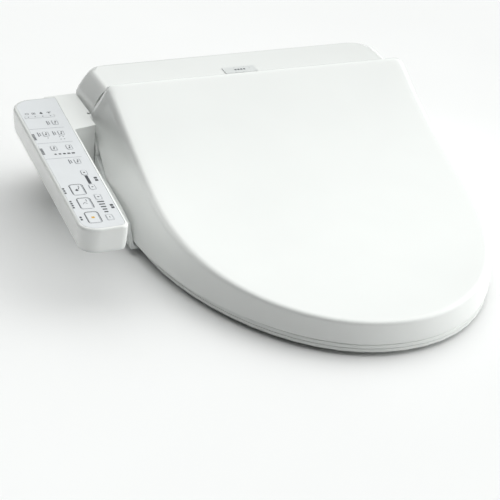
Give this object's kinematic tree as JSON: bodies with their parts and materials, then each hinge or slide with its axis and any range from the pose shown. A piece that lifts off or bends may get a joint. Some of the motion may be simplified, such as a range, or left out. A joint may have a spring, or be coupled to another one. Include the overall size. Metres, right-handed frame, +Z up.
{
  "type": "electric bidet seat",
  "caption": "Electric bidet seat with a soft-closing lid, heated seat ring, extending wash nozzle, rear housing and a side control panel on an arm.",
  "frame": {"origin": "middle of the mounting plate's underside, on the plane that the seat rests on", "axes": "+X towards the user's left when seated (the side away from the control panel), -Y towards the front tip of the seat, +Z up"},
  "size_m": [0.4998, 0.5255, 0.133],
  "materials": {
    "white_gloss": "glossy white ABS",
    "white_satin": "satin off-white ABS",
    "panel_film": "satin printed film, very pale grey",
    "button_film": "satin pale grey key caps",
    "grey_plastic": "moulded grey acetal",
    "dark_plastic": "black plastic",
    "rubber": "soft pale grey rubber",
    "steel": "stainless steel",
    "brass": "plain brass",
    "circuit_board": "green solder mask",
    "heater_film": "amber polyimide film",
    "clear_lens": "smoked clear window"
  },
  "bodies": {
    "base": {"base_case": "white_satin", "control_board": "circuit_board", "cord_gland": "dark_plastic", "fan_housing": "dark_plastic", "hinge_pin_left": "steel", "hinge_pin_right": "steel", "indicator_window": "clear_lens", "inlet_filter": "steel", "inlet_nipple": "brass", "inlet_valve": "grey_plastic", "lid_damper": "grey_plastic", "mounting_plate": "white_satin", "name_plate": "steel", "nozzle_guide": "grey_plastic", "nozzle_motor": "steel", "panel_board": "circuit_board", "panel_overlay": "panel_film", "power_supply": "dark_plastic", "seat_damper": "grey_plastic", "side_panel_bottom": "white_satin", "side_panel_case": "white_gloss", "tank_heater": "grey_plastic", "top_cover": "white_gloss", "valve_solenoid": "dark_plastic", "water_tank": "white_satin"},
    "seat": {"seat_top": "white_gloss", "seat_base": "white_gloss", "seat_heater_film": "heater_film", "seat_bumper_front_left": "rubber", "seat_bumper_front_right": "rubber", "seat_bumper_rear_left": "rubber", "seat_bumper_rear_right": "rubber"},
    "lid": {"lid_shell": "white_gloss", "lid_bumper_left": "rubber", "lid_bumper_right": "rubber"},
    "wash_nozzle": {"nozzle": "steel", "nozzle_rack": "grey_plastic"},
    "pinion": {"nozzle_pinion": "grey_plastic"},
    "fan_wheel": {"fan_rotor": "grey_plastic"},
    "cartridge": {"deodorizer_cartridge": "white_satin"},
    "release_key": {"release_button": "grey_plastic"},
    "drain_cap": {"drain_plug": "grey_plastic"},
    "stop_key": {"stop_button": "button_film"},
    "rear_wash_key": {"rear_wash_button": "button_film"},
    "front_wash_key": {"front_wash_button": "button_film"},
    "pressure_down_key": {"pressure_down_button": "button_film"},
    "pressure_up_key": {"pressure_up_button": "button_film"},
    "nozzle_forward_key": {"nozzle_forward_button": "button_film"},
    "nozzle_back_key": {"nozzle_back_button": "button_film"},
    "deodorizer_key": {"deodorizer_button": "button_film"},
    "water_heat_key": {"water_heat_button": "button_film"},
    "seat_heat_key": {"seat_heat_button": "button_film"},
    "energy_timer_key": {"energy_timer_button": "button_film"},
    "auto_saver_key": {"auto_saver_button": "button_film"},
    "power_key": {"power_button": "button_film"}
  },
  "joints": [
    {"name": "seat_hinge", "type": "hinge", "parent": "base", "child": "seat", "pos_m": [0, -0.0185, 0.1135], "axis": [-1, 0, 0], "range_deg": [0, 100]},
    {"name": "lid_hinge", "type": "hinge", "parent": "seat", "child": "lid", "pos_m": [0, -0.0185, 0.1135], "axis": [1, 0, 0], "range_deg": [-104, 0]},
    {"name": "nozzle_slide", "type": "slide", "parent": "base", "child": "wash_nozzle", "axis": [0, -0.788, -0.6157], "range_m": [0, 0.085]},
    {"name": "pinion_spin", "type": "hinge", "parent": "base", "child": "pinion", "pos_m": [-0.0031, -0.0369, 0.03486], "axis": [0, -0.6157, 0.788], "range_deg": [-5, 660]},
    {"name": "fan_spin", "type": "hinge", "parent": "base", "child": "fan_wheel", "pos_m": [0.116, 0.04, 0.0186], "axis": [0, 0, 1], "continuous": true},
    {"name": "cartridge_slide", "type": "slide", "parent": "base", "child": "cartridge", "axis": [1, 0, 0], "range_m": [0, 0.04]},
    {"name": "release_press", "type": "slide", "parent": "base", "child": "release_key", "axis": [-1, 0, 0], "range_m": [0, 0.003], "stiffness_N_per_m": 900},
    {"name": "drain_turn", "type": "hinge", "parent": "base", "child": "drain_cap", "pos_m": [-0.2016, 0.016, 0.02], "axis": [-1, 0, 0], "range_deg": [0, 90]},
    {"name": "stop_press", "type": "slide", "parent": "base", "child": "stop_key", "axis": [0, 0, -1], "range_m": [0, 0.0007], "stiffness_N_per_m": 1200},
    {"name": "rear_wash_press", "type": "slide", "parent": "base", "child": "rear_wash_key", "axis": [0, 0, -1], "range_m": [0, 0.0007], "stiffness_N_per_m": 1200},
    {"name": "front_wash_press", "type": "slide", "parent": "base", "child": "front_wash_key", "axis": [0, 0, -1], "range_m": [0, 0.0007], "stiffness_N_per_m": 1200},
    {"name": "pressure_down_press", "type": "slide", "parent": "base", "child": "pressure_down_key", "axis": [0, 0, -1], "range_m": [0, 0.0007], "stiffness_N_per_m": 1200},
    {"name": "pressure_up_press", "type": "slide", "parent": "base", "child": "pressure_up_key", "axis": [0, 0, -1], "range_m": [0, 0.0007], "stiffness_N_per_m": 1200},
    {"name": "nozzle_forward_press", "type": "slide", "parent": "base", "child": "nozzle_forward_key", "axis": [0, 0, -1], "range_m": [0, 0.0007], "stiffness_N_per_m": 1200},
    {"name": "nozzle_back_press", "type": "slide", "parent": "base", "child": "nozzle_back_key", "axis": [0, 0, -1], "range_m": [0, 0.0007], "stiffness_N_per_m": 1200},
    {"name": "deodorizer_press", "type": "slide", "parent": "base", "child": "deodorizer_key", "axis": [0, 0, -1], "range_m": [0, 0.0007], "stiffness_N_per_m": 1200},
    {"name": "water_heat_press", "type": "slide", "parent": "base", "child": "water_heat_key", "axis": [0, 0, -1], "range_m": [0, 0.0007], "stiffness_N_per_m": 1200},
    {"name": "seat_heat_press", "type": "slide", "parent": "base", "child": "seat_heat_key", "axis": [0, 0, -1], "range_m": [0, 0.0007], "stiffness_N_per_m": 1200},
    {"name": "energy_timer_press", "type": "slide", "parent": "base", "child": "energy_timer_key", "axis": [0, 0, -1], "range_m": [0, 0.0007], "stiffness_N_per_m": 1200},
    {"name": "auto_saver_press", "type": "slide", "parent": "base", "child": "auto_saver_key", "axis": [0, 0, -1], "range_m": [0, 0.0007], "stiffness_N_per_m": 1200},
    {"name": "power_press", "type": "slide", "parent": "base", "child": "power_key", "axis": [0, 0, -1], "range_m": [0, 0.0007], "stiffness_N_per_m": 1200}
  ],
  "couplings": [
    {"joint": "pinion_spin", "follows": "nozzle_slide", "rad_per_m": 133.33}
  ]
}
